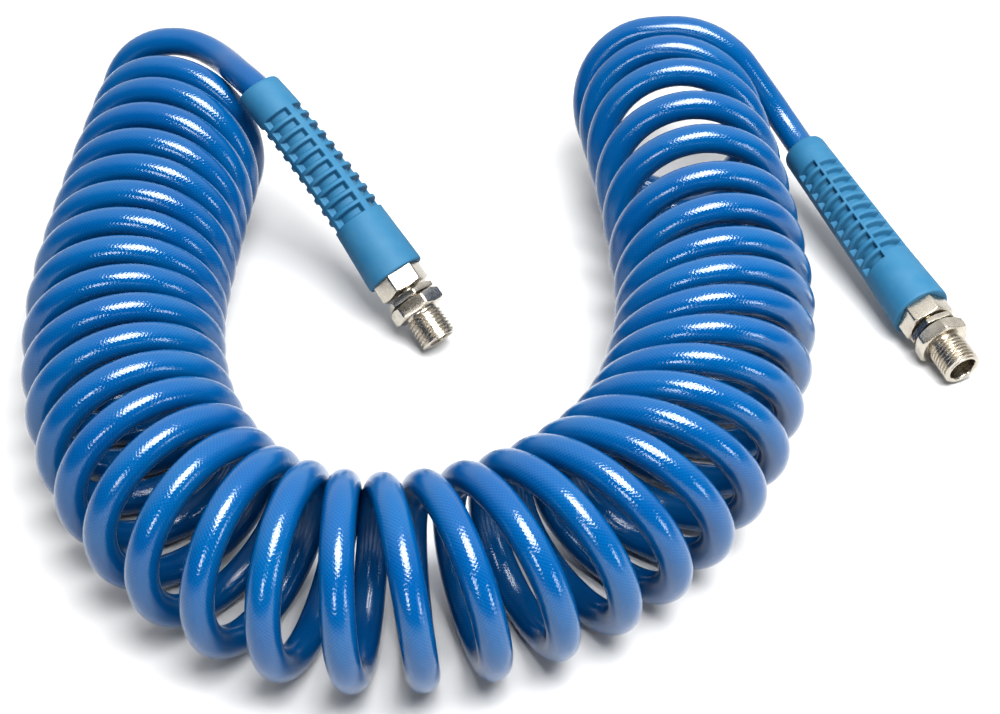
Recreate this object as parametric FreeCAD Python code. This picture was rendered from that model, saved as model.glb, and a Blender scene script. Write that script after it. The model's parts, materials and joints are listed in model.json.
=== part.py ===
"""Coiled air hose: a 6.5 x 10 mm recoil hose laid in a U, with a swivel male fitting on each end.

Units are millimetres, +Z is up, and the hose rests on Z = 0. The origin is under the middle of
the whole, and the open side of the U faces +Y.
"""
import FreeCAD, Part

import math
import os

from FreeCAD import Vector

os.makedirs("parts", exist_ok=True)

# ---------------------------------------------------------------- driving dimensions
HOSE_OUTER_R = 5.0
HOSE_BORE_R = 3.25
COIL_OUTER_R = 32.75           # outside of the turns, from the coil's own axis

HEX_AF = 16.0                  # spanner size of the stem and of the gland nut
BODY_HEX_AF = 17.0             # spanner size of the male fitting
THREAD_CREST_R = 6.58          # quarter-inch pipe thread
THREAD_PITCH = 1.337
THREAD_DEPTH = 0.856
THREAD_CREST = 0.30
THREAD_CRESTS = 8

GUARD_LENGTH = 82.0
GUARD_COLLAR = 12.5            # plain collar where the hose leaves
GUARD_SLEEVE = 22.5            # plain sleeve over the crimp
GUARD_SLOTS = 10               # along each side of the ladder
GUARD_SLOT_SHARE = 0.60        # slot width over slot pitch
GUARD_TIP_R = 7.9
GUARD_COLLAR_R = 8.2
GUARD_WAIST_R = 9.35
GUARD_MOUTH_R = 10.45
GUARD_CORE_R = 6.0             # floor of the slots at the thin end, and at the thick end
GUARD_CORE_END_R = 6.9
GUARD_ROUND = 1.0

# Stations along a fitting, from the guard's mouth outward
HOSE_END = -6.7
STEM_TAIL = -26.0
FERRULE_BACK = -23.5
STEM_HEX_BACK = -5.0
STEM_HEX_FRONT = 6.7
NUT_BACK = 7.7
NUT_SHOULDER = 10.0
BODY_BACK = 10.5
NUT_NOSE = 12.5
WASHER_BACK = 12.55
WASHER_FRONT = 13.25
FLANGE_BACK = 13.35
FLANGE_FRONT = 14.7
POCKET_END = 14.95
BODY_HEX_FRONT = 15.6
THREAD_START = 16.4
STEM_NOSE = 20.0
SEAL_BORE_END = 20.4
TIP = 27.1
SEAL_AT = 17.0

# Radii inside the swivel
STEM_BORE_R = 2.2
BARB_R = 3.25
BARB_ROOT_R = 2.8
BARBS = 5
FERRULE_R = 6.2
NECK_R = 3.75
NUT_BORE_R = 3.81
NUT_BARREL_R = 5.3
FLANGE_R = 4.9
POCKET_R = 5.1
NOSE_R = 3.85
SEAL_BORE_R = 3.93
SEAL_GROOVE_R = 2.82
SEAL_GROOVE = 1.4
SEAL_SECTION_R = 0.54
PORT_R = 4.7
PORT_MOUTH_R = 5.0
RELIEF_R = 5.6

# ---------------------------------------------------------------- where things lie
# The coil's axis, in plan: it is level, one coil radius above the surface it lies on.
COIL_AXIS = [
    (-116.2, 128.3), (-120.4, 91.7), (-123.8, 50.0), (-126.2, 0.0), (-114.6, -53.3),
    (-84.6, -95.0), (-40.4, -112.5), (13.8, -97.5), (52.1, -58.3), (68.8, 0.8), (66.2, 53.3),
    (62.1, 95.8), (55.4, 136.7),
]
# Each tail runs from the top of the last turn to the point where it enters its guard's line.
LEFT_TAIL = [
    (-116.7, 124.7, 60.4), (-106.2, 120.5, 61.7), (-98.0, 113.1, 64.5), (-91.7, 103.3, 67.0),
    (-84.4, 94.2, 64.9),
]
RIGHT_TAIL = [
    (56.2, 131.9, 61.5), (65.8, 131.2, 61.6), (74.9, 129.5, 58.9), (83.2, 127.0, 53.3),
    (89.4, 124.0, 45.2), (95.6, 121.7, 37.2), (101.8, 115.8, 30.3), (107.5, 106.5, 25.9),
]
# Each end: where the hose enters the guard, and the way the fitting points (heading, slope);
# then how far its guard, and each hexagon, is turned about its axis. The two guards differ in the
# widths of their spines, and where slots is one more than GUARD_SLOTS the sides are staggered.
ENDS = {
    "left": {
        "entry": (-84.4, 94.2, 64.9), "heading": -48.2, "slope": -33.0,
        "spine": -93.5, "spine_widths": (3.1, 3.1), "slots": (10, 10),
        "stem_hex": -73.5, "nut_hex": -44.5, "body_hex": -53.5,
    },
    "right": {
        "entry": (107.5, 106.5, 25.9), "heading": -65.4, "slope": -9.6,
        "spine": -66.0, "spine_widths": (1.4, 7.5), "slots": (11, 10),
        "stem_hex": -65.0, "nut_hex": -85.0, "body_hex": -50.5,
    },
}
TAILS = {"left": LEFT_TAIL, "right": RIGHT_TAIL}

Z_AXIS = Vector(0, 0, 1)
ORIGIN = Vector(0, 0, 0)


# ---------------------------------------------------------------- basic solids on the local Z axis
def cylinder(radius, low, high):
    return Part.makeCylinder(radius, high - low, Vector(0, 0, low), Z_AXIS)


def revolved(profile):
    """Turn a closed outline of (radius, station) points about Z."""
    points = [Vector(r, 0, z) for r, z in profile]
    points.append(points[0])
    face = Part.Face(Part.makePolygon(points))
    return face.revolve(ORIGIN, Z_AXIS, 360)


def ring_of(outer, bore_r, low, high):
    return outer.cut(cylinder(bore_r, low - 1, high + 1))


def hexagon(across_flats, low, high, turn):
    """A hexagonal bar with a flat facing the angle `turn`."""
    corner = across_flats / math.sqrt(3)
    points = []
    for i in range(7):
        angle = math.radians(turn + 30 + 60 * i)
        points.append(Vector(corner * math.cos(angle), corner * math.sin(angle), low))
    return Part.Face(Part.makePolygon(points)).extrude(Vector(0, 0, high - low))


def chamfered_hexagon(across_flats, low, high, turn, back=True, front=True):
    """A hexagonal bar whose corners are turned off at 30 degrees, as on a nut."""
    corner = across_flats / math.sqrt(3)
    flat_r = across_flats / 2 - 0.3
    drop = (corner - flat_r) * math.tan(math.radians(30))
    outline = [(0, low), (flat_r if back else corner, low)]
    if back:
        outline.append((corner, low + drop))
    if front:
        outline.append((corner, high - drop))
    outline += [(flat_r if front else corner, high), (0, high)]
    return hexagon(across_flats, low, high, turn).common(revolved(outline))


# ---------------------------------------------------------------- pieces of a fitting
def ladder_slots(end):
    """The pockets between a guard's four spines, in rows along its four sides."""
    low = -GUARD_LENGTH + GUARD_COLLAR
    high = -GUARD_SLEEVE
    pitch = (high - low) / GUARD_SLOTS
    width = GUARD_SLOT_SHARE * pitch
    slots = []
    for side in range(4):
        this_spine = end["spine_widths"][side % 2]
        next_spine = end["spine_widths"][(side + 1) % 2]
        count = end["slots"][side % 2]
        for i in range(count):
            middle = (low + high) / 2 + (i - (count - 1) / 2) * pitch
            corner = Vector(next_spine / 2, this_spine / 2, middle - width / 2)
            slot = Part.makeBox(2 * GUARD_MOUTH_R, 2 * GUARD_MOUTH_R, width, corner)
            slot.rotate(ORIGIN, Z_AXIS, end["spine"] + 90 * side)
            slots.append(slot)
    core = revolved([
        (0, low - pitch), (GUARD_CORE_R, low - pitch), (GUARD_CORE_END_R, high + pitch),
        (0, high + pitch),
    ])
    return Part.makeCompound([slot.cut(core) for slot in slots])


def bend_guard(end):
    """Rubber bend guard: collar, slotted ladder section and sleeve."""
    tip = -GUARD_LENGTH
    outline = [
        (HOSE_OUTER_R, tip), (GUARD_TIP_R - GUARD_ROUND, tip), (GUARD_TIP_R, tip + GUARD_ROUND),
        (GUARD_COLLAR_R, tip + GUARD_COLLAR), (GUARD_WAIST_R, -GUARD_SLEEVE),
        (GUARD_MOUTH_R, -GUARD_ROUND), (GUARD_MOUTH_R - GUARD_ROUND / 2, 0),
        (HOSE_OUTER_R, 0),
    ]
    body = revolved(outline).cut(ladder_slots(end))
    body = body.cut(cylinder(FERRULE_R, FERRULE_BACK, 1))
    return body.cut(hexagon(HEX_AF, STEM_HEX_BACK, 1, end["stem_hex"]))


def crimp_ferrule():
    """Crimped sleeve that holds the hose on the barbs, with three crimp grooves."""
    groove_depth = 0.4
    groove_width = 1.8
    body = ring_of(cylinder(FERRULE_R, FERRULE_BACK, HOSE_END), HOSE_OUTER_R, FERRULE_BACK, HOSE_END)
    spacing = (HOSE_END - FERRULE_BACK) / 4
    for i in range(3):
        middle = FERRULE_BACK + spacing * (i + 1)
        low = middle - groove_width / 2
        high = middle + groove_width / 2
        groove = ring_of(cylinder(FERRULE_R + 1, low, high), FERRULE_R - groove_depth, low, high)
        body = body.cut(groove)
    return body


def barb_stem(hex_turn):
    """Barbed hose tail, hexagon, and the necked spigot that the swivel turns on."""
    tail = cylinder(BARB_ROOT_R, STEM_TAIL, STEM_HEX_BACK)
    step = (HOSE_END - STEM_TAIL - 3) / BARBS
    for i in range(BARBS):
        low = STEM_TAIL + 0.5 + i * step
        tail = tail.fuse(revolved([
            (0, low), (BARB_ROOT_R, low), (BARB_R, low + 0.8 * step), (0, low + 0.8 * step),
        ]))
    shoulder = cylinder(FERRULE_R, HOSE_END, STEM_HEX_BACK)
    hexagon_part = chamfered_hexagon(HEX_AF, STEM_HEX_BACK, STEM_HEX_FRONT, hex_turn, back=False)
    neck = cylinder(NECK_R, STEM_HEX_FRONT, FLANGE_BACK)
    flange = cylinder(FLANGE_R, FLANGE_BACK, FLANGE_FRONT)
    nose = cylinder(NOSE_R, FLANGE_FRONT, STEM_NOSE)
    groove_low = SEAL_AT - SEAL_GROOVE / 2
    groove_high = SEAL_AT + SEAL_GROOVE / 2
    groove = ring_of(cylinder(NOSE_R + 1, groove_low, groove_high), SEAL_GROOVE_R, groove_low,
                     groove_high)
    body = tail.fuse([shoulder, hexagon_part, neck, flange, nose]).removeSplitter()
    return body.cut(groove).cut(cylinder(STEM_BORE_R, STEM_TAIL - 1, STEM_NOSE + 1))


def stem_o_ring():
    return Part.makeTorus(SEAL_GROOVE_R + SEAL_SECTION_R, SEAL_SECTION_R, Vector(0, 0, SEAL_AT), Z_AXIS)


def thrust_washer():
    """Low-friction washer between the gland nut and the stem's flange."""
    return ring_of(cylinder(FLANGE_R, WASHER_BACK, WASHER_FRONT), NUT_BORE_R, WASHER_BACK,
                   WASHER_FRONT)


def gland_nut(hex_turn):
    """Thin hexagonal nut, screwed into the back of the male fitting, that traps the stem."""
    head = chamfered_hexagon(HEX_AF, NUT_BACK, NUT_SHOULDER, hex_turn, front=False)
    barrel = cylinder(NUT_BARREL_R, NUT_SHOULDER, NUT_NOSE)
    return ring_of(head.fuse(barrel).removeSplitter(), NUT_BORE_R, NUT_BACK, NUT_NOSE)


def male_thread():
    """Thread as parallel crests and roots, with a lead-in chamfer at the tip."""
    root_r = THREAD_CREST_R - THREAD_DEPTH
    flank = (THREAD_PITCH - THREAD_CREST) / 2
    outline = [(0, BODY_HEX_FRONT), (RELIEF_R, BODY_HEX_FRONT), (RELIEF_R, THREAD_START)]
    for i in range(THREAD_CRESTS):
        low = THREAD_START + flank + i * THREAD_PITCH
        outline += [(THREAD_CREST_R, low), (THREAD_CREST_R, low + THREAD_CREST)]
        outline.append((root_r, low + THREAD_CREST + flank))
    outline += [(root_r, TIP), (0, TIP)]
    return revolved(outline)


def male_fitting(hex_turn):
    """Hexagon and male thread in one piece, bored for the stem's flange and seal."""
    head = chamfered_hexagon(BODY_HEX_AF, BODY_BACK, BODY_HEX_FRONT, hex_turn)
    body = head.fuse(male_thread()).removeSplitter()
    mouth_depth = (PORT_MOUTH_R - PORT_R) * math.tan(math.radians(60))
    bore = revolved([
        (0, BODY_BACK - 1), (NUT_BARREL_R, BODY_BACK - 1), (NUT_BARREL_R, NUT_NOSE),
        (POCKET_R, NUT_NOSE), (POCKET_R, POCKET_END), (SEAL_BORE_R, POCKET_END),
        (SEAL_BORE_R, SEAL_BORE_END), (PORT_R, SEAL_BORE_END), (PORT_R, TIP - mouth_depth),
        (PORT_MOUTH_R, TIP), (PORT_MOUTH_R, TIP + 1), (0, TIP + 1),
    ])
    return body.cut(bore)


# ---------------------------------------------------------------- placing a fitting
def direction(end):
    heading = math.radians(end["heading"])
    slope = math.radians(end["slope"])
    return Vector(math.cos(slope) * math.cos(heading), math.cos(slope) * math.sin(heading),
                  math.sin(slope))


def mouth_point(end):
    return Vector(*end["entry"]) + direction(end) * GUARD_LENGTH


def placed(shape, end):
    """Move a piece from the local Z axis to its end of the hose; local X stays level."""
    along = direction(end)
    level = along.cross(Z_AXIS).normalize()
    third = along.cross(level)
    at = mouth_point(end)
    matrix = FreeCAD.Matrix(
        level.x, third.x, along.x, at.x,
        level.y, third.y, along.y, at.y,
        level.z, third.z, along.z, at.z,
        0, 0, 0, 1)
    shape = shape.copy()
    shape.Placement = FreeCAD.Placement(matrix)
    return shape


# ---------------------------------------------------------------- tubes along a route
def rounded_route(points, name):
    """Straight runs joined by tangent arcs, each arc as large as its two runs allow."""
    points = [Vector(*p) for p in points]
    edges = []
    start = points[0]
    radii = []
    for before, corner, after in zip(points, points[1:], points[2:]):
        into = (corner - before).normalize()
        out = (after - corner).normalize()
        half_turn = into.getAngle(out) / 2
        setback = 0.45 * min(before.distanceToPoint(corner), corner.distanceToPoint(after))
        radii.append(setback / math.tan(half_turn))
        arc_start = corner - into * setback
        arc_end = corner + out * setback
        bulge = (out - into).normalize() * (radii[-1] / math.cos(half_turn) - radii[-1])
        edges.append(Part.LineSegment(start, arc_start).toShape())
        edges.append(Part.Arc(arc_start, corner + bulge, arc_end).toShape())
        start = arc_end
    edges.append(Part.LineSegment(start, points[-1]).toShape())
    print(name, "radii", [round(r, 1) for r in radii])
    return Part.Wire(edges)


def swept(wire, radius):
    first = wire.OrderedEdges[0]
    heading = first.tangentAt(first.FirstParameter)
    circle = Part.Wire(Part.makeCircle(radius, first.valueAt(first.FirstParameter), heading))
    return wire.makePipeShell([circle], True, True)


def report_volume(name, shape, section, length):
    print(name, "length", round(length, 1), "volume", round(shape.Volume),
          "section x length", round(section * length), "valid", shape.isValid())


def hose_tail(side):
    """The hose from the last turn, through the guard, to its end in the ferrule."""
    end = ENDS[side]
    hose_end = mouth_point(end) + direction(end) * HOSE_END
    wire = rounded_route(TAILS[side] + [tuple(hose_end)], side + " tail")
    tube = swept(wire, HOSE_OUTER_R).cut(swept(wire, HOSE_BORE_R))
    section = math.pi * (HOSE_OUTER_R ** 2 - HOSE_BORE_R ** 2)
    report_volume("hose_tail_" + side, tube, section, wire.Length)
    return tube


def hose_coil():
    """The outer shape of all the turns: one fat tube along the coil's axis."""
    wire = rounded_route([(x, y, COIL_OUTER_R) for x, y in COIL_AXIS], "coil axis")
    tube = swept(wire, COIL_OUTER_R)
    report_volume("hose_coil", tube, math.pi * COIL_OUTER_R ** 2, wire.Length)
    return tube


# ---------------------------------------------------------------- build and export
nodes = {"hose_coil": hose_coil()}
for side, end in ENDS.items():
    nodes["hose_tail_" + side] = hose_tail(side)
    pieces = {
        "bend_guard": bend_guard(end),
        "crimp_ferrule": crimp_ferrule(),
        "barb_stem": barb_stem(end["stem_hex"]),
        "stem_o_ring": stem_o_ring(),
        "thrust_washer": thrust_washer(),
        "gland_nut": gland_nut(end["nut_hex"]),
        "male_fitting": male_fitting(end["body_hex"]),
    }
    for name, shape in pieces.items():
        nodes[side + "_" + name] = placed(shape, end)

whole = FreeCAD.BoundBox()
for name, shape in nodes.items():
    whole.add(shape.optimalBoundingBox(True, False))
    if not shape.isValid() or len(shape.Solids) != 1:
        print("check", name, "solids", len(shape.Solids), "valid", shape.isValid())
    shape.exportStep("parts/" + name + ".step")
print("nodes", len(nodes))
print("box", [round(v, 1) for v in (whole.XMin, whole.XMax, whole.YMin, whole.YMax, whole.ZMin, whole.ZMax)])
for side, end in ENDS.items():
    along = direction(end)
    print(side, "axis", [round(v, 6) for v in along],
          "swivel at", [round(v, 3) for v in mouth_point(end) + along * STEM_HEX_FRONT],
          "thread middle", [round(v, 3) for v in mouth_point(end) + along * (THREAD_START + TIP) / 2],
          "tip", [round(v, 3) for v in mouth_point(end) + along * TIP])
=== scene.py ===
"""The looks of the coiled air hose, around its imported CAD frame: the whole hose as one cord, the
slotted rubber guards, and the plated fittings with their cut threads. Metres, +Z up.

Outlines of turned pieces are in millimetres along their own axis, from the guard's mouth outward.
"""

import json
import math

import bpy
import numpy as np
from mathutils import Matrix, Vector


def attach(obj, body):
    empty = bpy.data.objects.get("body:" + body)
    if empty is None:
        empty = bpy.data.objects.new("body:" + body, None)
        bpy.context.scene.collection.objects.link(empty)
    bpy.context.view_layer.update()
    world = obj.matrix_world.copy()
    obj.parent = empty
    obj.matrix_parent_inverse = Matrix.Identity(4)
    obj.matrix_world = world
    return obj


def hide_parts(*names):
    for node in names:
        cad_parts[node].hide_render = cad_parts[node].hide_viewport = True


MM = 0.001

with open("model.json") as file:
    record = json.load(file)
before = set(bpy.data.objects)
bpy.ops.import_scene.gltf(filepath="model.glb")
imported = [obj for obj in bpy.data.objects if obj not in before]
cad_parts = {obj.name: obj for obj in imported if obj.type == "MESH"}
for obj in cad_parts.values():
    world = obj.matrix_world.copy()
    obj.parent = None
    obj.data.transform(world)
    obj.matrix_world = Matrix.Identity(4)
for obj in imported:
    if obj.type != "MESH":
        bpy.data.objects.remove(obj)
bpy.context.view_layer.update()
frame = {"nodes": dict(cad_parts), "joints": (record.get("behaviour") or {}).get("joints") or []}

# ---------------------------------------------------------------- camera
camera = bpy.data.objects.new("camera", bpy.data.cameras.new("camera"))
camera.location = (-0.0029, -0.5188, 0.49)
camera.rotation_euler = (math.radians(47.9), 0, 0)
camera.data.sensor_width = 36
camera.data.lens = 76.8
bpy.context.scene.collection.objects.link(camera)
bpy.context.scene.camera = camera

# ---------------------------------------------------------------- the hose's route
HOSE_OUTER_R = 5.0 * MM
HOSE_END = -6.7                # where the hose stops inside the crimp, along a fitting
SWIVEL_STATION = 6.7           # where the record's swivel joint lies, along a fitting

# The coil's axis in plan, and the tails from the last turns to the guards, as in the CAD.
COIL_AXIS = [
    (-0.1162, 0.1283), (-0.1204, 0.0917), (-0.1238, 0.05), (-0.1262, 0.0), (-0.1146, -0.0533),
    (-0.0846, -0.095), (-0.0404, -0.1125), (0.0138, -0.0975), (0.0521, -0.0583), (0.0688, 0.0008),
    (0.0662, 0.0533), (0.0621, 0.0958), (0.0554, 0.1367),
]
LEFT_TAIL = [
    (-0.1167, 0.1258, 0.0605), (-0.1083, 0.1215, 0.0604), (-0.1006, 0.1138, 0.0603),
    (-0.0955, 0.1042, 0.0624), (-0.0873, 0.094, 0.0621),
]
RIGHT_TAIL = [
    (0.0562, 0.1319, 0.0615), (0.0658, 0.1312, 0.0616), (0.0749, 0.1295, 0.0589),
    (0.0832, 0.127, 0.0533), (0.0894, 0.124, 0.0452), (0.0956, 0.1217, 0.0372),
    (0.1018, 0.1158, 0.0303), (0.1075, 0.1065, 0.0259),
]
# How far along the coil's axis the top of each of these turns lies. Turns between them are evenly
# spaced.
TURNS = [1, 2, 3, 5, 8, 11, 14, 17, 20, 23, 26, 28, 30, 32, 34, 35, 36, 37, 38, 39]
TURN_PLACES = [
    0.0111, 0.0268, 0.0386, 0.0655, 0.1045, 0.1443, 0.1896, 0.2377, 0.2853, 0.3333, 0.378,
    0.4078, 0.4379, 0.463, 0.4933, 0.5118, 0.5289, 0.5464, 0.5591, 0.5702,
]
# Along the coil, from its start to its end: the turns' radius, how far their tops lean along
# the coil, and how far they are skewed in plan.
TURN_RADII = [0.02775, 0.027, 0.02835]
TURN_LEANS = [-0.31, 0.22, 0.04, -0.31, 0.39]
TURN_SKEWS = [-0.33, 0.04, 0.08, 0.26, -0.37]
POINTS_PER_TURN = 16
SPLINE_SHRINK = 0.981          # a quadratic spline's radius over that of its 16 points
AXIS_STEPS = 24                # steps between two points of the coil's axis
HEADING_REACH = 2 * MM         # how far ahead and behind the axis is looked at for its direction
ROUTE_STEPS = 4                # steps between two points of the hose's route
HOSE_SIDES = 32
GUARD_LENGTH = 82.0
GUARD_BEND_START = -25.0       # the guard is straight from here to its mouth
GUARD_BEND = {"left": (2.3, 3.3), "right": (0.0, 0.0)}    # how far its end bends, across its axis
GUARD_POINTS = (-25.0, -45.0, -60.0, -75.0)    # where the hose's route has points in the guard


def collection_link(obj):
    """Put the object into the scene and return it."""
    bpy.context.scene.collection.objects.link(obj)
    return obj


def spline_points(name, points, steps):
    """The points that a smooth spline passes, for these control points."""
    curve = bpy.data.curves.new(name, "CURVE")
    curve.dimensions = "3D"
    curve.resolution_u = steps
    spline = curve.splines.new("NURBS")
    spline.points.add(len(points) - 1)
    for target, point in zip(spline.points, points):
        target.co = (*point, 1)
    spline.order_u = 3
    spline.use_endpoint_u = True
    obj = collection_link(bpy.data.objects.new(name, curve))
    bpy.context.view_layer.update()
    mesh = bpy.data.meshes.new_from_object(obj)
    line = np.array([v.co[:] for v in mesh.vertices])
    bpy.data.meshes.remove(mesh)
    bpy.data.objects.remove(obj)
    bpy.data.curves.remove(curve)
    return line


def distances(line):
    """How far along the line each of its points is."""
    steps = np.linalg.norm(np.diff(line, axis=0), axis=1)
    return np.concatenate([[0], np.cumsum(steps)])


def point_along(line, places, place):
    """The point of the line that lies this far along it, given the places of all its points."""
    return np.array([np.interp(place, places, line[:, axis]) for axis in range(3)])


def along_coil(values, share):
    """A value that changes evenly along the coil between the given ones."""
    return np.interp(share, np.linspace(0, 1, len(values)), values)


class End:
    """One end of the hose: its place and direction come from the record's swivel joint."""

    def __init__(self, side):
        joint = next(j for j in frame["joints"] if j["name"] == side + "_swivel")
        self.side = side
        self.along = Vector(joint["axis"]).normalized()
        self.mouth = Vector(joint["pos_m"]) - self.along * SWIVEL_STATION * MM
        self.level = self.along.cross(Vector((0, 0, 1))).normalized()
        self.third = self.along.cross(self.level)

    def at(self, station):
        """The point of the end's axis at this station. The axis bends with the rubber guard."""
        reach = max(0, (GUARD_BEND_START - station) / (GUARD_BEND_START + GUARD_LENGTH))
        level, third = GUARD_BEND[self.side]
        bend = (self.level * level + self.third * third) * reach ** 2
        return self.mouth + (self.along * station + bend) * MM


LEFT = End("left")
RIGHT = End("right")


def coil_turns():
    """Control points of the turns between the two tails."""
    axis = spline_points("coil_axis", [(x, y, 0) for x, y in COIL_AXIS], AXIS_STEPS)
    places = distances(axis)
    count = (TURNS[-1] - TURNS[0]) * POINTS_PER_TURN
    points = []
    for i in range(1, count):
        turn = TURNS[0] + i / POINTS_PER_TURN
        place = np.interp(turn, TURNS, TURN_PLACES)
        share = place / places[-1]
        centre = point_along(axis, places, place)
        ahead = point_along(axis, places, place + HEADING_REACH)
        behind = point_along(axis, places, place - HEADING_REACH)
        forward = (ahead - behind) / np.linalg.norm(ahead - behind)
        outward = np.array([forward[1], -forward[0], 0])
        radius = along_coil(TURN_RADII, share)
        angle = 2 * math.pi * turn
        lean = along_coil(TURN_LEANS, share) * math.cos(angle)
        skew = along_coil(TURN_SKEWS, share) * math.sin(angle)
        centre[2] = radius + HOSE_OUTER_R
        offset = outward * math.sin(angle) + forward * (lean + skew)
        offset[2] = math.cos(angle)
        points.append(tuple(centre + offset * radius / SPLINE_SHRINK))
    return points


def hose_route():
    """Control points of the whole hose, from one crimp to the other."""
    route = [LEFT.at(HOSE_END)]
    route += [LEFT.at(station) for station in GUARD_POINTS]
    route += LEFT_TAIL[::-1]
    route += coil_turns()
    route += RIGHT_TAIL
    route += [RIGHT.at(station) for station in GUARD_POINTS[::-1]]
    route += [RIGHT.at(HOSE_END)]
    return [tuple(point) for point in route]


# ---------------------------------------------------------------- meshes
def add_length_uv(mesh, row_places, columns):
    """UV for a tube's side faces: its length in metres, and the share of a turn round it."""
    layer = mesh.uv_layers.new(name="hose")
    places = np.broadcast_to(row_places[:, None], (len(row_places), columns))
    low, high = places[:-1], places[1:]
    first = np.broadcast_to(np.arange(columns) / columns, low.shape)
    second = np.broadcast_to((np.arange(columns) + 1) / columns, low.shape)
    sides = np.stack([
        np.stack([low, first], -1), np.stack([low, second], -1),
        np.stack([high, second], -1), np.stack([high, first], -1),
    ], axis=-2).reshape(-1, 2)
    corners = np.zeros((len(mesh.loops), 2))
    corners[:len(sides)] = sides
    layer.data.foreach_set("uv", corners.ravel())


def grid_mesh(name, grid, close_rows, row_places=None):
    """A smooth mesh through a grid of points that closes on itself along each row.

    With close_rows the rows close on each other too; otherwise the first and last are capped.
    """
    rows, columns = grid.shape[:2]
    index = np.arange(rows * columns).reshape(rows, columns)
    here = index if close_rows else index[:-1]
    next_row = np.roll(index, -1, axis=0) if close_rows else index[1:]
    quads = np.stack([
        here, np.roll(here, -1, axis=1), np.roll(next_row, -1, axis=1), next_row,
    ], axis=-1).reshape(-1, 4)
    faces = quads.tolist()
    if not close_rows:
        faces.append(index[0, ::-1].tolist())
        faces.append(index[-1].tolist())
    mesh = bpy.data.meshes.new(name)
    mesh.from_pydata(grid.reshape(-1, 3).tolist(), [], faces)
    mesh.shade_smooth()
    if row_places is not None:
        add_length_uv(mesh, row_places, columns)
    mesh.update()
    return collection_link(bpy.data.objects.new(name, mesh))


def tube(name, line, radius, sides):
    """A round tube along a line, with its length in metres and its turn as UV."""
    tangents = np.gradient(line, axis=0)
    tangents /= np.linalg.norm(tangents, axis=1)[:, None]
    side = np.cross(tangents[0], (0, 0, 1))
    angles = np.arange(sides) * 2 * math.pi / sides
    rings = []
    for point, tangent in zip(line, tangents):
        side = side - tangent * side.dot(tangent)
        side /= np.linalg.norm(side)
        other = np.cross(tangent, side)
        rings.append(point + radius * (
            np.outer(np.cos(angles), side) + np.outer(np.sin(angles), other)))
    return grid_mesh(name, np.array(rings), False, distances(line))


CORNER_STEPS = 2
CORNER_SHARE = 0.45            # the most of a side that one rounded corner may take


def rounded_outline(outline):
    """Replace each (radius, station, round) corner by a short arc; round 0 keeps the corner."""
    result = []
    count = len(outline)
    for i, (r, a, size) in enumerate(outline):
        here = np.array([r, a])
        if size == 0:
            result.append(here)
            continue
        before = np.array(outline[i - 1][:2]) - here
        after = np.array(outline[(i + 1) % count][:2]) - here
        long_before = max(np.linalg.norm(before), 1e-9)
        long_after = max(np.linalg.norm(after), 1e-9)
        reach = min(size, CORNER_SHARE * long_before, CORNER_SHARE * long_after)
        start = here + before / long_before * reach
        end = here + after / long_after * reach
        for k in range(CORNER_STEPS + 1):
            t = k / CORNER_STEPS
            result.append(start * (1 - t) ** 2 + here * 2 * t * (1 - t) + end * t * t)
    return result


def turned(name, end, outline_at, columns, turn):
    """A piece turned about a fitting's axis. outline_at(angle) gives its closed outline there."""
    angles = [2 * math.pi * i / columns + math.radians(turn) for i in range(columns)]
    outlines = np.array([rounded_outline(outline_at(angle)) for angle in angles])
    radii = outlines[:, :, 0].T * MM
    stations = outlines[:, :, 1].T * MM
    cosines = np.cos(angles)
    sines = np.sin(angles)
    centres = np.array([[end.at(a / MM) for a in row] for row in stations])
    grid = (centres
            + (radii * cosines)[..., None] * np.array(end.level)
            + (radii * sines)[..., None] * np.array(end.third))
    return grid_mesh(name, grid, True)


# ---------------------------------------------------------------- sizes of the turned pieces, mm
HEX_AF = 16.0
BODY_HEX_AF = 17.0
HEX_CORNER = 0.57              # corner radius over width: a bar's corners are a little rounded
HEX_FACE_INSET = 0.25          # how far inside the flats the chamfer meets an end face
CHAMFER_SLOPE = math.tan(math.radians(30))

GUARD_COLLAR = 12.5
GUARD_SLEEVE = 22.5
GUARD_BORE_R = 5.03
GUARD_TIP_R = 7.9
GUARD_COLLAR_R = 8.2
GUARD_WAIST_R = 9.35
GUARD_MOUTH_R = 10.45
GUARD_CORE_R = 6.0
GUARD_CORE_END_R = 6.9
GUARD_SLOTS = 10
GUARD_SLOT_SHARE = 0.60
GUARD_EDGE = 0.75              # how wide the moulded rounding of a slot's edge is
GUARD_STEP = 0.19
GUARD_COLUMNS = 288
GUARD_LIP = 0.7                # how far back the rounding of its mouth begins
GUARD_LIP_DROP = 0.25

FERRULE_R = 6.2
FERRULE_BACK = -23.5
STEM_TAIL = -26.0
STEM_HEX_BACK = -5.0
STEM_HEX_FRONT = 6.7
NUT_BACK = 7.7
NUT_SHOULDER = 10.0
BODY_BACK = 10.5
NUT_NOSE = 12.5
FLANGE_BACK = 13.35
FLANGE_FRONT = 14.7
POCKET_END = 14.95
BODY_HEX_FRONT = 15.6
THREAD_START = 16.4
STEM_NOSE = 20.0
SEAL_BORE_END = 20.4
TIP = 27.1
SEAL_AT = 17.0

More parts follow.
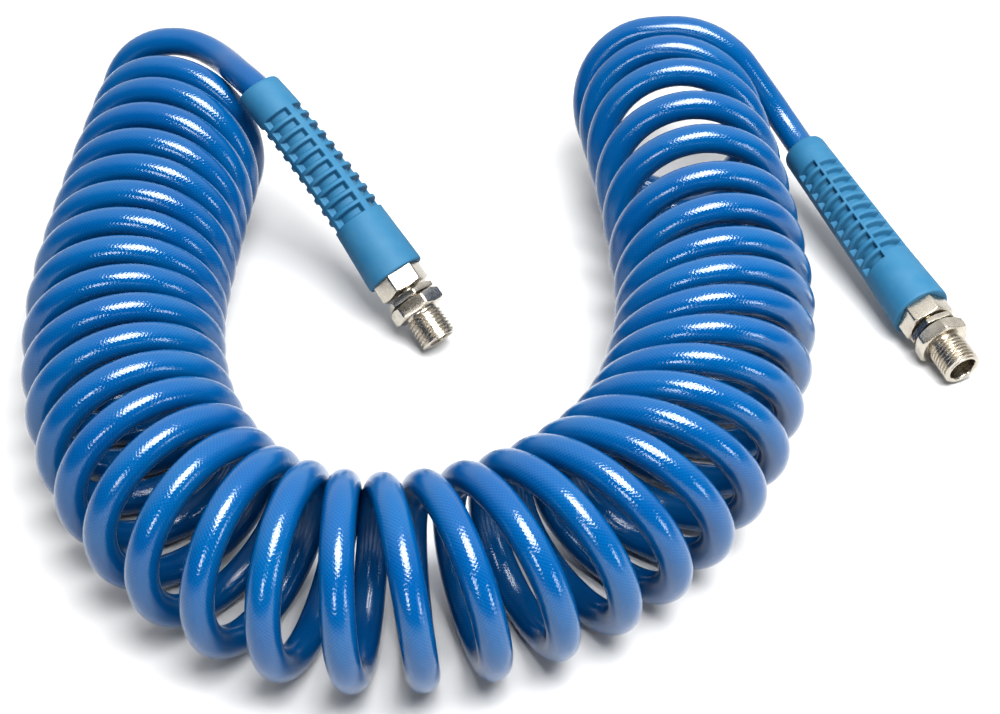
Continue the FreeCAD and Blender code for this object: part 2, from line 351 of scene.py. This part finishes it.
STEM_BORE_R = 2.2
BARB_R = 3.25
BARB_ROOT_R = 2.8
BARBS = 5
BARB_LEAD = 0.5                # plain length before the first barb
BARB_PLAIN = 3.0               # plain length of the tail in all, before and after the barbs
BARB_CREST = 0.8               # where a barb's crest and foot are, over its length
BARB_FOOT = 0.85
NECK_R = 3.75
NUT_BORE_R = 3.81
NUT_BARREL_R = 5.3
FLANGE_R = 4.9
POCKET_R = 5.1
NOSE_R = 3.85
SEAL_BORE_R = 3.93
SEAL_GROOVE_R = 2.82
SEAL_GROOVE = 1.4
PORT_R = 4.7
PORT_MOUTH_R = 5.0
PORT_MOUTH_SLOPE = math.tan(math.radians(60))
RELIEF_R = 5.6

THREAD_CREST_R = 6.58
THREAD_PITCH = 1.337
THREAD_DEPTH = 0.856
THREAD_STEP = 0.085
THREAD_FOOT = 0.86             # how far from its crest a thread ends, over half the pitch
THREAD_FLANK = 0.70            # how long its flank is, over half the pitch
THREAD_CHAMFER = 0.35          # how high above the roots the tip's chamfer ends
METAL_COLUMNS = 180
EDGE = 0.12                    # how wide a machined edge is broken

# How far each guard, and each hexagon, is turned about its axis.
TURNED = {
    "left": {
        "spine": -93.5, "spine_widths": (3.1, 3.1), "slots": (10, 10),
        "stem_hex": -73.5, "nut_hex": -44.5, "body_hex": -53.5,
    },
    "right": {
        "spine": -66.0, "spine_widths": (1.4, 7.5), "slots": (11, 10),
        "stem_hex": -65.0, "nut_hex": -85.0, "body_hex": -50.5,
    },
}


def hex_radius(angle, turn, width=HEX_AF):
    """Distance from the axis to a hexagon with a flat facing the angle `turn`."""
    offset = (math.degrees(angle) - turn + 30) % 60 - 30
    return min(width / 2 / math.cos(math.radians(offset)), width * HEX_CORNER)


def smooth_step(value):
    """Rise from 0 to 1 with level ends, as the value does."""
    value = np.clip(value, 0, 1)
    return value * value * (3 - 2 * value)


# ---------------------------------------------------------------- outlines of the pieces
# Each outline is a closed list of (radius, station, how large its corner is rounded), in mm.
def guard_outline(angle, turned_by):
    """Bend guard: collar, slots between four spines, and a sleeve with a hexagonal mouth."""
    tip = -GUARD_LENGTH
    low = tip + GUARD_COLLAR
    high = -GUARD_SLEEVE
    pitch = (high - low) / GUARD_SLOTS
    stations = np.arange(low - pitch, high + pitch, GUARD_STEP)
    surface = np.interp(stations, [tip, low, high, 0],
                        [GUARD_TIP_R, GUARD_COLLAR_R, GUARD_WAIST_R, GUARD_MOUTH_R])
    core = np.interp(stations, [low - pitch, high + pitch], [GUARD_CORE_R, GUARD_CORE_END_R])
    from_spine = angle - math.radians(turned_by["spine"])
    side = int(from_spine // (math.pi / 2)) % 4
    this_spine = turned_by["spine_widths"][side % 2]
    next_spine = turned_by["spine_widths"][(side + 1) % 2]
    count = turned_by["slots"][side % 2]
    from_this = surface * abs(math.sin(from_spine % (math.pi / 2))) - this_spine / 2
    from_next = surface * abs(math.cos(from_spine % (math.pi / 2))) - next_spine / 2
    slot = (stations - (low + high) / 2) / pitch + (count - 1) / 2
    nearest = np.clip(np.round(slot), 0, count - 1)
    from_edge = (GUARD_SLOT_SHARE / 2 - np.abs(slot - nearest)) * pitch
    depth = np.minimum(np.minimum(from_this, from_next), from_edge)
    pocket = smooth_step(depth / GUARD_EDGE + 0.5)
    radii = surface + (core - surface) * pocket
    mouth = hex_radius(angle, turned_by["stem_hex"])
    outline = [(GUARD_BORE_R, tip, 0.4), (GUARD_TIP_R, tip, 1.3)]
    outline += [(r, a, 0) for r, a in zip(radii, stations)]
    outline += [
        (GUARD_MOUTH_R, -GUARD_LIP, 0.5), (GUARD_MOUTH_R - GUARD_LIP_DROP, 0, 0.25),
        (mouth, 0, 0.2), (mouth, STEM_HEX_BACK, 0), (FERRULE_R, STEM_HEX_BACK, 0),
        (FERRULE_R, FERRULE_BACK, 0), (GUARD_BORE_R, FERRULE_BACK, 0),
    ]
    return outline


def hexagon_sides(angle, turn, width, low, high, back, front):
    """The outside of a hexagonal bar, with a chamfer where asked."""
    corner = hex_radius(angle, turn, width)
    face_r = width / 2 - HEX_FACE_INSET
    drop = (corner - face_r) * CHAMFER_SLOPE
    sides = []
    if back:
        sides += [(face_r, low, EDGE), (corner, low + drop, EDGE)]
    else:
        sides += [(corner, low, EDGE)]
    if front:
        sides += [(corner, high - drop, EDGE), (face_r, high, EDGE)]
    else:
        sides += [(corner, high, EDGE)]
    return sides


def stem_outline(angle, turned_by):
    """Barbed tail, hexagon, and the necked spigot that the swivel turns on."""
    outline = [(STEM_BORE_R, STEM_TAIL, EDGE), (BARB_ROOT_R, STEM_TAIL, EDGE)]
    step = (HOSE_END - STEM_TAIL - BARB_PLAIN) / BARBS
    for i in range(BARBS):
        low = STEM_TAIL + BARB_LEAD + i * step
        outline += [
            (BARB_ROOT_R, low, 0), (BARB_R, low + BARB_CREST * step, 0.1),
            (BARB_ROOT_R, low + BARB_FOOT * step, 0),
        ]
    outline += [
        (BARB_ROOT_R, HOSE_END, 0), (FERRULE_R, HOSE_END, EDGE), (FERRULE_R, STEM_HEX_BACK, 0),
    ]
    outline += hexagon_sides(
        angle, turned_by["stem_hex"], HEX_AF, STEM_HEX_BACK, STEM_HEX_FRONT, False, True)
    groove_low = SEAL_AT - SEAL_GROOVE / 2
    groove_high = SEAL_AT + SEAL_GROOVE / 2
    outline += [
        (NECK_R, STEM_HEX_FRONT, 0.2), (NECK_R, FLANGE_BACK, 0.1), (FLANGE_R, FLANGE_BACK, EDGE),
        (FLANGE_R, FLANGE_FRONT, EDGE), (NOSE_R, FLANGE_FRONT, 0.1), (NOSE_R, groove_low, 0.08),
        (SEAL_GROOVE_R, groove_low, 0.1), (SEAL_GROOVE_R, groove_high, 0.1),
        (NOSE_R, groove_high, 0.08), (NOSE_R, STEM_NOSE, 0.3), (STEM_BORE_R, STEM_NOSE, EDGE),
    ]
    return outline


def nut_outline(angle, turned_by):
    """Gland nut: a thin hexagon with a barrel that sits inside the male fitting."""
    sides = hexagon_sides(
        angle, turned_by["nut_hex"], HEX_AF, NUT_BACK, NUT_SHOULDER, True, False)
    return [(NUT_BORE_R, NUT_BACK, EDGE)] + sides + [
        (NUT_BARREL_R, NUT_SHOULDER, 0.1), (NUT_BARREL_R, NUT_NOSE, EDGE),
        (NUT_BORE_R, NUT_NOSE, EDGE),
    ]


def thread_radii(angle, stations):
    """A right-handed thread that runs out at the hexagon and is chamfered at the tip."""
    phase = ((stations - THREAD_START) / THREAD_PITCH - angle / (2 * math.pi)) % 1
    from_crest = np.abs(phase - 0.5) * 2
    height = smooth_step((THREAD_FOOT - from_crest) / THREAD_FLANK)
    run_in = smooth_step(stations - THREAD_START)
    root_r = THREAD_CREST_R - THREAD_DEPTH
    base = RELIEF_R + (root_r - RELIEF_R) * run_in
    radii = base + THREAD_DEPTH * height * run_in
    return np.minimum(radii, root_r + THREAD_CHAMFER + (TIP - stations))


def male_outline(angle, turned_by):
    """Male fitting: hexagon, relief and thread outside; port, seal bore and pocket inside."""
    outline = [(NUT_BARREL_R, BODY_BACK, EDGE)]
    outline += hexagon_sides(
        angle, turned_by["body_hex"], BODY_HEX_AF, BODY_BACK, BODY_HEX_FRONT, True, True)
    outline.append((RELIEF_R, BODY_HEX_FRONT, 0.25))
    stations = np.arange(THREAD_START, TIP, THREAD_STEP)
    outline += [(r, a, 0) for r, a in zip(thread_radii(angle, stations), stations)]
    mouth_depth = (PORT_MOUTH_R - PORT_R) * PORT_MOUTH_SLOPE
    outline += [
        (PORT_MOUTH_R, TIP, EDGE), (PORT_R, TIP - mouth_depth, 0.1), (PORT_R, SEAL_BORE_END, 0),
        (SEAL_BORE_R, SEAL_BORE_END, 0), (SEAL_BORE_R, POCKET_END, 0), (POCKET_R, POCKET_END, 0),
        (POCKET_R, NUT_NOSE, 0), (NUT_BARREL_R, NUT_NOSE, 0),
    ]
    return outline


# ---------------------------------------------------------------- materials
class Nodes:
    """A material's node tree, with short calls to add and join nodes."""

    def __init__(self, name):
        self.material = bpy.data.materials.new(name)
        self.material.use_nodes = True
        self.tree = self.material.node_tree
        self.shader = self.tree.nodes["Principled BSDF"]

    def add(self, kind, **settings):
        node = self.tree.nodes.new("ShaderNode" + kind)
        for key, value in settings.items():
            setattr(node, key, value)
        return node

    def join(self, source, target):
        self.tree.links.new(source, target)

    def math(self, operation, a, b=0.0, clamp=False):
        node = self.add("Math", operation=operation, use_clamp=clamp)
        for socket, value in zip(node.inputs, (a, b)):
            if isinstance(value, (int, float)):
                socket.default_value = value
            else:
                self.join(value, socket)
        return node.outputs[0]

    def noise(self, scale, detail):
        node = self.add("TexNoise")
        node.inputs["Scale"].default_value = scale
        node.inputs["Detail"].default_value = detail
        self.join(self.add("TexCoord").outputs["Object"], node.inputs["Vector"])
        return node.outputs["Fac"]

    def ramp(self, value, source, target):
        """Map the value from one (low, high) range to another."""
        node = self.add("MapRange")
        self.join(value, node.inputs["Value"])
        for key, number in zip(("From Min", "From Max", "To Min", "To Max"), source + target):
            node.inputs[key].default_value = number
        return node.outputs["Result"]

    def mix(self, factor, first, second):
        node = self.add("Mix", data_type="RGBA")
        self.join(factor, node.inputs["Factor"])
        node.inputs["A"].default_value = (*first, 1)
        node.inputs["B"].default_value = (*second, 1)
        return node.outputs["Result"]

    def bump(self, height, strength, distance):
        node = self.add("Bump")
        node.inputs["Strength"].default_value = strength
        node.inputs["Distance"].default_value = distance
        self.join(height, node.inputs["Height"])
        self.join(node.outputs["Normal"], self.shader.inputs["Normal"])

    def set(self, **values):
        for key, value in values.items():
            self.shader.inputs[key.replace("_", " ")].default_value = value
        return self.material


BRAID_STRANDS = 24             # strands each way round the hose
BRAID_LAY = 1.1 * MM           # how far along the hose one strand follows the next
HOSE_DARK = (0.0, 0.049, 0.178)
HOSE_LIGHT = (0.0, 0.097, 0.232)
GUARD_DARK = (0.014, 0.112, 0.212)
GUARD_LIGHT = (0.03, 0.13, 0.226)


def hose_material():
    """Glossy blue polyurethane over a fine crossed braid."""
    n = Nodes("hose_polyurethane")
    uv = n.add("UVMap", uv_map="hose")
    parts = n.add("SeparateXYZ")
    n.join(uv.outputs["UV"], parts.inputs[0])
    round_hose = n.math("MULTIPLY", parts.outputs[1], 2 * math.pi * BRAID_STRANDS)
    along_hose = n.math("MULTIPLY", parts.outputs[0], 2 * math.pi / BRAID_LAY)
    one_way = n.math("SINE", n.math("ADD", round_hose, along_hose))
    other_way = n.math("SINE", n.math("SUBTRACT", round_hose, along_hose))
    strands = n.math("MAXIMUM", one_way, n.math("MULTIPLY", other_way, 0.7))
    braid = n.ramp(strands, (-0.6, 1.0), (0.0, 1.0))
    cloud = n.ramp(n.noise(scale=45.0, detail=3.0), (0.3, 0.7), (-0.12, 0.12))
    tone = n.math("ADD", n.math("MULTIPLY", braid, 0.6), cloud, clamp=True)
    n.join(n.mix(tone, HOSE_DARK, HOSE_LIGHT), n.shader.inputs["Base Color"])
    wear = n.noise(scale=900.0, detail=2.0)
    n.join(n.ramp(wear, (0.35, 0.75), (0.08, 0.16)), n.shader.inputs["Roughness"])
    n.bump(n.math("ADD", n.math("MULTIPLY", braid, 0.5), wear), strength=0.3, distance=0.2 * MM)
    return n.set(Specular_IOR_Level=0.5, Coat_Weight=0.22, Coat_Roughness=0.05, IOR=1.5)


def guard_material():
    """Matt moulded rubber, a paler blue than the hose."""
    n = Nodes("guard_rubber")
    cloud = n.ramp(n.noise(scale=120.0, detail=4.0), (0.3, 0.7), (0.0, 1.0))
    n.join(n.mix(cloud, GUARD_DARK, GUARD_LIGHT), n.shader.inputs["Base Color"])
    grain = n.noise(scale=5200.0, detail=3.0)
    n.join(n.ramp(grain, (0.3, 0.7), (0.58, 0.72)), n.shader.inputs["Roughness"])
    n.bump(grain, strength=0.22, distance=0.12 * MM)
    return n.set(Specular_IOR_Level=0.4)


def metal_material(name, worn, clean, rough):
    """Bare or plated metal with a fine grain and cloudy wear."""
    n = Nodes(name)
    cloud = n.ramp(n.noise(scale=260.0, detail=4.0), (0.35, 0.7), (0.0, 1.0))
    n.join(n.mix(cloud, clean, worn), n.shader.inputs["Base Color"])
    fine = n.noise(scale=3200.0, detail=4.0)
    n.join(n.ramp(fine, (0.3, 0.75), (rough, rough + 0.12)), n.shader.inputs["Roughness"])
    n.bump(fine, strength=0.10, distance=0.08 * MM)
    return n.set(Metallic=1.0)


def plain_material(name, colour, other, rough):
    """A hidden piece's finish: two close tones and a fine grain."""
    n = Nodes(name)
    n.join(n.mix(n.noise(scale=400.0, detail=3.0), colour, other), n.shader.inputs["Base Color"])
    n.bump(n.noise(scale=2400.0, detail=2.0), strength=0.1, distance=0.1 * MM)
    return n.set(Roughness=rough)


def floor_material():
    """A plain matt floor that the lights make white."""
    n = Nodes("studio_floor")
    tones = n.mix(n.noise(scale=3.0, detail=2.0), (0.53, 0.53, 0.53), (0.55, 0.55, 0.55))
    n.join(tones, n.shader.inputs["Base Color"])
    return n.set(Roughness=0.7, Specular_IOR_Level=0.2)


def paint(obj, material):
    obj.data.materials.clear()
    obj.data.materials.append(material)


# ---------------------------------------------------------------- the hose
line = spline_points("hose_line", hose_route(), ROUTE_STEPS)
hose = tube("hose", line, HOSE_OUTER_R, HOSE_SIDES)
paint(hose, hose_material())
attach(hose, "hose")
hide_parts("hose_coil", "hose_tail_left", "hose_tail_right")

# ---------------------------------------------------------------- guards and fittings
rubber = guard_material()
nickel = metal_material("nickel_plate", (0.46, 0.42, 0.36), (0.58, 0.54, 0.47), 0.20)
ferrule_metal = metal_material(
    "ferrule_aluminium", (0.60, 0.60, 0.61), (0.72, 0.72, 0.73), 0.25)
seal_rubber = plain_material("seal_rubber", (0.012, 0.012, 0.012), (0.03, 0.03, 0.03), 0.5)
washer_plastic = plain_material("washer_plastic", (0.72, 0.72, 0.68), (0.8, 0.8, 0.76), 0.4)

PIECES = [
    # piece, outline, columns, which turn its corners follow, material, slot, moves with the swivel
    ("bend_guard", guard_outline, GUARD_COLUMNS, "stem_hex", rubber, "guard", False),
    ("barb_stem", stem_outline, METAL_COLUMNS, "stem_hex", nickel, "plated_brass", False),
    ("gland_nut", nut_outline, METAL_COLUMNS, "nut_hex", nickel, "plated_brass", True),
    ("male_fitting", male_outline, METAL_COLUMNS, "body_hex", nickel, "plated_brass", True),
]
for end in (LEFT, RIGHT):
    turned_by = TURNED[end.side]
    for name, outline, columns, corners, material, slot, swivels in PIECES:
        piece = turned(
            end.side + "_" + name + "_shaped", end,
            lambda angle: outline(angle, turned_by), columns, turned_by[corners])
        if name != "bend_guard":
            piece.data.set_sharp_from_angle(angle=math.radians(35))
        paint(piece, material)
        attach(piece, end.side + "_swivel_end" if swivels else "hose")
        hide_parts(end.side + "_" + name)
    paint(frame["nodes"][end.side + "_crimp_ferrule"], ferrule_metal)
    paint(frame["nodes"][end.side + "_stem_o_ring"], seal_rubber)
    paint(frame["nodes"][end.side + "_thrust_washer"], washer_plastic)

# ---------------------------------------------------------------- floor and lights
FLOOR_HALF = 4
FLOOR_CORNERS = [(-1, -1), (1, -1), (1, 1), (-1, 1)]
floor_mesh = bpy.data.meshes.new("floor")
floor_mesh.from_pydata(
    [(x * FLOOR_HALF, y * FLOOR_HALF, 0) for x, y in FLOOR_CORNERS], [], [(0, 1, 2, 3)])
floor = collection_link(bpy.data.objects.new("floor", floor_mesh))
paint(floor, floor_material())


def area_light(name, place, look_at, size, power, in_reflections=True):
    """A rectangular lamp. Size is its width and height in metres, and power is in watts."""
    data = bpy.data.lights.new(name, "AREA")
    data.shape = "RECTANGLE"
    data.size, data.size_y = size
    data.energy = power
    light = collection_link(bpy.data.objects.new(name, data))
    light.location = place
    light.rotation_euler = (Vector(look_at) - Vector(place)).to_track_quat("-Z", "Y").to_euler()
    light.visible_glossy = in_reflections
    return light


SKY_BRIGHTEST = (0, 0.75, 0.66)    # the direction behind the hose and above it
SKY_RANGES = {"From Min": 0.0, "From Max": 0.8, "To Min": 0.04, "To Max": 0.9}


def studio_sky():
    """A white surround that is bright in one direction and nearly dark in the opposite one."""
    world = bpy.data.worlds.new("studio")
    bpy.context.scene.world = world
    world.use_nodes = True
    nodes = world.node_tree.nodes
    links = world.node_tree.links
    background = nodes["Background"]
    background.inputs["Color"].default_value = (1, 1, 1, 1)
    direction = nodes.new("ShaderNodeTexCoord")
    towards_back = nodes.new("ShaderNodeVectorMath")
    towards_back.operation = "DOT_PRODUCT"
    towards_back.inputs[1].default_value = SKY_BRIGHTEST
    brightness = nodes.new("ShaderNodeMapRange")
    brightness.interpolation_type = "SMOOTHSTEP"
    for key, number in SKY_RANGES.items():
        brightness.inputs[key].default_value = number
    links.new(direction.outputs["Generated"], towards_back.inputs[0])
    links.new(towards_back.outputs["Value"], brightness.inputs["Value"])
    links.new(brightness.outputs["Result"], background.inputs["Strength"])


studio_sky()
area_light("key", (0.24, -0.37, 1.12), (0, 0, 0.03), (0.70, 0.62), 27)
area_light("front_left", (-0.2, -0.96, 0.5), (0, 0, 0.03), (0.22, 0.22), 2.2)
area_light("front_right", (0.79, -0.57, 0.25), (0, 0, 0.03), (0.18, 0.24), 1.6)
area_light("overhead", (0, 0.3, 1.6), (0, 0, 0), (1.6, 1.6), 9, in_reflections=False)
bpy.context.scene.view_settings.view_transform = "Standard"
bpy.context.scene.view_settings.look = "Medium High Contrast"
